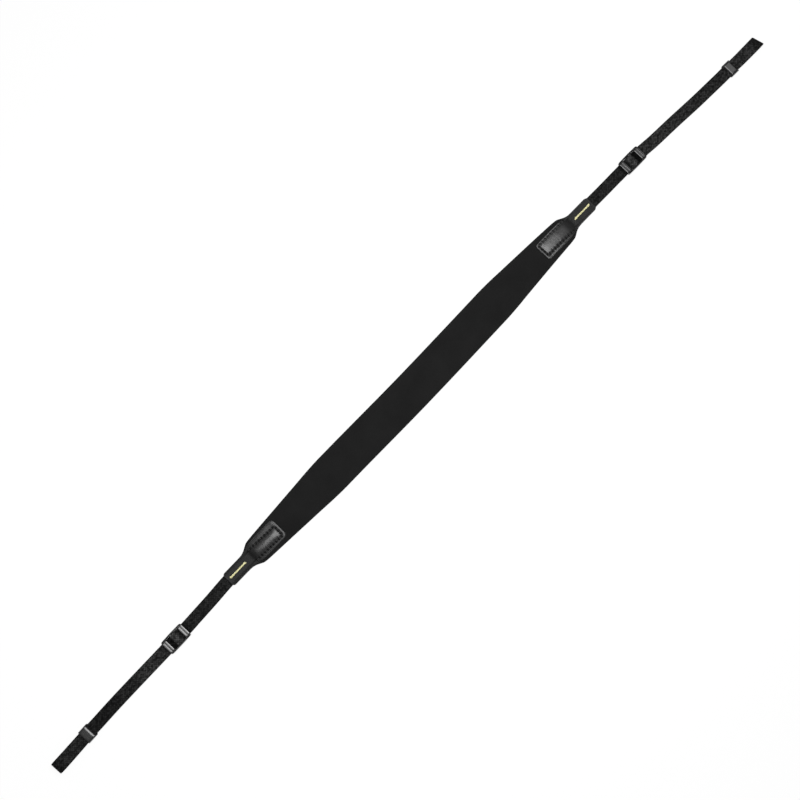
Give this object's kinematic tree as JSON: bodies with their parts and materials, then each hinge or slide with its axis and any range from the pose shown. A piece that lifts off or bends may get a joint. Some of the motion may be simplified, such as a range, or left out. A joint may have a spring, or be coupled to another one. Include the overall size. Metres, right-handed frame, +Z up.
{
  "type": "binocular strap",
  "caption": "Neck strap for binoculars: a tapered soft pad with leather end tabs, and slim webbing running through sliders and keepers to end loops.",
  "frame": {"origin": "middle of the neck pad, on its flat underside, which lies on the surface", "axes": "+X along the strap towards its right end, +Y across it, +Z up"},
  "size_m": [0.9829, 0.0396, 0.0082],
  "materials": {
    "pad_cloth": "matt black knitted cloth on foam",
    "leather": "black grained leather, semi-gloss",
    "webbing": "black woven nylon",
    "slider_plastic": "glossy black moulded plastic",
    "keeper_plastic": "satin dark grey moulded plastic"
  },
  "bodies": {
    "root": {"neck_pad": "pad_cloth", "leather_tab_left": "leather", "leather_tab_right": "leather", "webbing_left": "webbing", "webbing_right": "webbing", "slider_left": "slider_plastic", "slider_right": "slider_plastic", "keeper_left": "keeper_plastic", "keeper_right": "keeper_plastic"}
  },
  "joints": []
}
